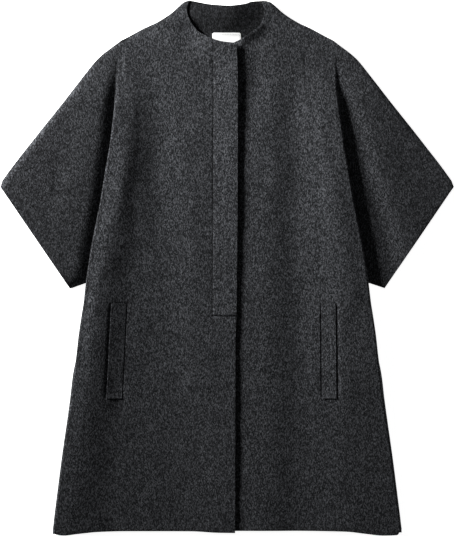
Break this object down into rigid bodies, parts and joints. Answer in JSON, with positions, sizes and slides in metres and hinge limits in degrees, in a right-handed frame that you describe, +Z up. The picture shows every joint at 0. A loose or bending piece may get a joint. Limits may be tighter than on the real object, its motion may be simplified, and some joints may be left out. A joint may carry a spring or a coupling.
{
  "type": "wool cape coat",
  "caption": "Knee-length cape coat in brushed double-faced wool with wide cut-on sleeves, a grown-on stand collar, a concealed fly front and slanting welt pockets, laid flat front up.",
  "frame": {"origin": "on the surface that the coat lies on, below the middle of its outline", "axes": "+Z is up, away from the surface, +Y points from the hem to the collar, and +X points to the wearer's left sleeve"},
  "size_m": [0.8825, 1.0416, 0.0198],
  "materials": {
    "wool": "brushed matt",
    "label": "smooth weave"
  },
  "bodies": {
    "root": {"back": "wool", "front_right": "wool", "front_left": "wool", "fly_placket": "wool", "welt_right": "wool", "welt_left": "wool", "label": "label"}
  },
  "joints": []
}
